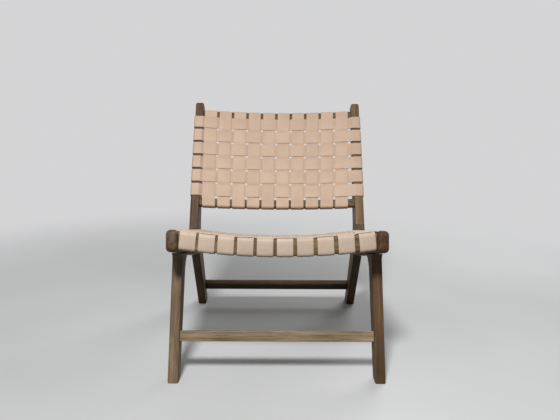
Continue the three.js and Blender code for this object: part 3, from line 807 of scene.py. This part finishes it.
def leather_material():
    material, tree, shader = new_material("vegetable_tanned_leather")
    lay = attribute(tree, "lay", "Vector")
    clouds = stretched_noise(tree, lay, LEATHER_CLOUD_NOISE)
    mottle = stretched_noise(tree, lay, LEATHER_MOTTLE_NOISE)
    pores = stretched_noise(tree, lay, LEATHER_PORE_NOISE)
    creases = stretched_noise(tree, lay, LEATHER_CREASE_NOISE)
    colour = shades(tree, clouds, LEATHER_CLOUDS)
    mottling = remapped(tree, mottle, NOISE_RANGE, LEATHER_MOTTLE_SHADES)
    colour = multiplied(tree, colour, grey(tree, mottling))
    pore_share = remapped(tree, pores, LEATHER_PORE_RANGE, LEATHER_PORE_SHARES)
    colour = blended(tree, "MIX", pore_share, colour, LEATHER_PORE)
    rind = attribute(tree, "rind", "Fac")
    flesh_share = remapped(tree, rind, LEATHER_FLESH_RANGE, LEATHER_FLESH_SHARES)
    colour = blended(tree, "MIX", flesh_share, colour, LEATHER_FLESH)
    # Partly a painted highlight: the cut edges are lightened
    edge = attribute(tree, "edge", "Fac")
    edge_and_highlight_share = remapped(tree, edge, LEATHER_EDGE_RANGE, LEATHER_EDGE_SHARES)
    colour = blended(tree, "MIX", edge_and_highlight_share, colour, LEATHER_EDGE_AND_HIGHLIGHT)
    colour = multiplied(tree, colour, attribute(tree, "tone", "Color"))
    tree.links.new(colour, shader.inputs["Base Color"])
    roughness = remapped(tree, mottle, NOISE_RANGE, LEATHER_ROUGHNESS)
    tree.links.new(roughness, shader.inputs["Roughness"])
    shader.inputs["Specular IOR Level"].default_value = LEATHER_SPECULAR
    relief = bumped(tree, creases, LEATHER_CREASE_BUMP)
    tree.links.new(bumped(tree, pores, LEATHER_PORE_BUMP, relief), shader.inputs["Normal"])
    return material


def brass_material():
    material, tree, shader = new_material("aged_brass")
    place = add(tree, "ShaderNodeTexCoord").outputs["Object"]
    patina = stretched_noise(tree, place, BRASS_NOISE)
    tree.links.new(shades(tree, patina, BRASS_PATINA), shader.inputs["Base Color"])
    shader.inputs["Metallic"].default_value = 1.0
    roughness = remapped(tree, patina, NOISE_RANGE, BRASS_ROUGHNESS)
    tree.links.new(roughness, shader.inputs["Roughness"])
    return material


wood = wood_material()
leather = leather_material()
brass = brass_material()

# ---------------------------------------------------------------- the chair
across_run = (1, 0, 0)
seat_run = (0, *seat_back)
back_run = (0, *back_up)
front_leg_run = (0, *front_leg_up)
rear_leg_run = (0, *rear_leg_up)
# Each member's own share of the wood's colour, as seen in the photograph. The darker shares of
# the rear legs and the rear stretcher are partly painted shade from under the seat.
members = (
    ("side_rail_left", seat_run, (0.66, 0.58, 0.55)),
    ("side_rail_right", seat_run, (0.48, 0.37, 0.31)),
    ("front_leg_left", front_leg_run, (0.96, 0.92, 0.94)),
    ("front_leg_right", front_leg_run, (0.62, 0.49, 0.41)),
    # Partly painted shade: the rear legs are darkened for the shade under the seat
    ("rear_leg_left", rear_leg_run, (0.55, 0.46, 0.40)),
    ("rear_leg_right", rear_leg_run, (0.53, 0.44, 0.38)),
    ("back_post_left", back_run, (0.52, 0.37, 0.29)),
    ("back_post_right", back_run, (1.04, 0.89, 0.765)),
    ("front_seat_rail", across_run, (0.92, 0.86, 0.76)),
    ("rear_seat_rail", across_run, (0.95, 0.87, 0.82)),
    ("back_top_rail", across_run, (0.62, 0.50, 0.38)),
    ("back_bottom_rail", across_run, (0.70, 0.60, 0.48)),
    ("front_stretcher", across_run, (1.48, 1.54, 1.60)),
    # Partly painted shade: the rear stretcher is darkened for the shade under the seat
    ("rear_stretcher", across_run, (0.50, 0.42, 0.36)),
)
dowel_runs = {
    "post_dowel_front": back_run,
    "post_dowel_rear": back_run,
    "rail_dowel_lower": seat_run,
    "rail_dowel_upper": seat_run,
}
dowels = [
    (f"{name}_{side}", run, DOWEL_TONE) for name, run in dowel_runs.items() for side in SIDES
]
for number, (name, run, tone) in enumerate([*members, *dowels]):
    wood_piece(name, run, tone, number)

seat_rails = ("front_seat_rail", "rear_seat_rail")
side_rails = ("side_rail_left", "side_rail_right")
back_rails = ("back_top_rail", "back_bottom_rail")
back_posts = ("back_post_left", "back_post_right")
strap_sets = (
    ("seat_strap", seat_strap, SEAT_COLUMN_COUNT, SEAT_TINT_AND_LIGHT, seat_rails),
    ("seat_cross_strap", seat_cross_strap, SEAT_ROW_COUNT, SEAT_TINT_AND_LIGHT, side_rails),
    ("back_strap", back_strap, BACK_COLUMN_COUNT, BACK_TINT_AND_SHADE, back_rails),
    ("back_cross_strap", back_cross_strap, BACK_ROW_COUNT, BACK_TINT_AND_SHADE, back_posts),
)
tones = np.random.default_rng(TONE_SEED)
number = 0
# The seat's tint is partly painted light and the back's tint is partly painted shade
for set_name, shape_of, count, tint_and_light, rests_on in strap_sets:
    shapes = [shape_of(index) for index in range(count)]
    for index, shape in enumerate(shapes):
        tone = tint_and_light * (1 + TONE_SPREAD * tones.uniform(-1, 1))
        held_by = [f"{node}_wood" for node in rests_on]
        strap_piece(f"{set_name}_{index + 1}", shape, tone, number)
        number += 1
    tacks_piece(f"{set_name}_tacks", shapes)


# ---------------------------------------------------------------- floor, light and camera
def seen_directly(tree):
    """1 where the camera, a reflection or a clear surface looks, and 0 for soft light."""
    path = add(tree, "ShaderNodeLightPath").outputs
    seen = path["Is Camera Ray"]
    for other in ("Is Glossy Ray", "Is Transmission Ray"):
        either = add(tree, "ShaderNodeMath", operation="MAXIMUM")
        tree.links.new(seen, either.inputs[0])
        tree.links.new(path[other], either.inputs[1])
        seen = either.outputs[0]
    return seen


def floor_material():
    """Pale to the eye, fading into the backdrop, and a darker grey where it lights the chair."""
    material, tree, shader = new_material("pale_floor")
    place = add(tree, "ShaderNodeTexCoord").outputs["Object"]
    clouds = stretched_noise(tree, place, FLOOR_NOISE)
    pale = shades(tree, clouds, FLOOR_SHADES)
    colour = blended(tree, "MIX", seen_directly(tree), FLOOR_BOUNCE, pale)
    tree.links.new(colour, shader.inputs["Base Color"])
    shader.inputs["Roughness"].default_value = FLOOR_ROUGHNESS
    shader.inputs["Specular IOR Level"].default_value = FLOOR_SPECULAR
    distance = add(tree, "ShaderNodeVectorMath", {0: place}, operation="LENGTH").outputs["Value"]
    far = add(
        tree,
        "ShaderNodeMapRange",
        {"Value": distance},
        {"From Min": FLOOR_FADE[0], "From Max": FLOOR_FADE[1]},
        interpolation_type="SMOOTHSTEP",
    ).outputs["Result"]
    plain = {"Color": (*BACKDROP, 1), "Strength": BACKDROP_STRENGTH}
    backdrop = add(tree, "ShaderNodeEmission", values=plain)
    hidden = add(tree, "ShaderNodeMath", {0: far, 1: seen_directly(tree)}, operation="MULTIPLY")
    choice = add(
        tree,
        "ShaderNodeMixShader",
        {0: hidden.outputs[0], 1: shader.outputs["BSDF"], 2: backdrop.outputs["Emission"]},
    )
    tree.links.new(choice.outputs[0], tree.nodes["Material Output"].inputs["Surface"])
    return material


def pale_world():
    """Even soft light; the camera, reflections and gaps see a pale plain background."""
    world = bpy.data.worlds.new("studio")
    bpy.context.scene.world = world
    world.use_nodes = True
    tree = world.node_tree
    tree.nodes.clear()
    seen = seen_directly(tree)
    sky = {"Color": (*SKY_COLOUR, 1), "Strength": SKY_STRENGTH}
    light = add(tree, "ShaderNodeBackground", values=sky)
    plain = {"Color": (*BACKDROP, 1), "Strength": BACKDROP_STRENGTH}
    backdrop = add(tree, "ShaderNodeBackground", values=plain)
    mixed = {0: seen, 1: light.outputs[0], 2: backdrop.outputs[0]}
    choice = add(tree, "ShaderNodeMixShader", mixed)
    add(tree, "ShaderNodeOutputWorld", {"Surface": choice.outputs[0]})


def soft_lamp(name, place, power, size):
    data = bpy.data.lights.new(name, "AREA")
    data.energy = power
    data.shape = "DISK"
    data.size = size
    lamp = bpy.data.objects.new(name, data)
    bpy.context.scene.collection.objects.link(lamp)
    lamp.location = place
    lamp.rotation_mode = "QUATERNION"
    lamp.rotation_quaternion = (LIGHT_TARGET - Vector(place)).to_track_quat("-Z", "Y")


def photograph_camera():
    data = bpy.data.cameras.new("camera")
    data.sensor_fit = "HORIZONTAL"
    data.sensor_width = CAMERA_SENSOR
    data.lens = CAMERA_LENS
    camera = bpy.data.objects.new("camera", data)
    bpy.context.scene.collection.objects.link(camera)
    forward = Vector((
        math.sin(CAMERA_YAW) * math.cos(CAMERA_PITCH),
        math.cos(CAMERA_YAW) * math.cos(CAMERA_PITCH),
        -math.sin(CAMERA_PITCH),
    ))
    level_right = Vector((math.cos(CAMERA_YAW), -math.sin(CAMERA_YAW), 0))
    level_up = level_right.cross(forward)
    right = level_right * math.cos(CAMERA_ROLL) + level_up * math.sin(CAMERA_ROLL)
    up = level_up * math.cos(CAMERA_ROLL) - level_right * math.sin(CAMERA_ROLL)
    turn = Matrix((right, up, -forward)).transposed().to_4x4()
    camera.matrix_world = Matrix.Translation(CAMERA_PLACE) @ turn
    bpy.context.scene.camera = camera


half_floor = FLOOR_SIZE / 2
floor_mesh = bpy.data.meshes.new("floor")
corner_signs = ((-1, -1), (1, -1), (1, 1), (-1, 1))
floor_corners = [(x * half_floor, y * half_floor, 0) for x, y in corner_signs]
floor_mesh.from_pydata(floor_corners, [], [(0, 1, 2, 3)])
floor_mesh.materials.append(floor_material())
floor = bpy.data.objects.new("floor", floor_mesh)
bpy.context.scene.collection.objects.link(floor)

pale_world()
soft_lamp("key", KEY_PLACE, KEY_POWER, KEY_SIZE)
soft_lamp("fill", FILL_PLACE, FILL_POWER, FILL_SIZE)
photograph_camera()
bpy.context.scene.view_settings.view_transform = "Standard"
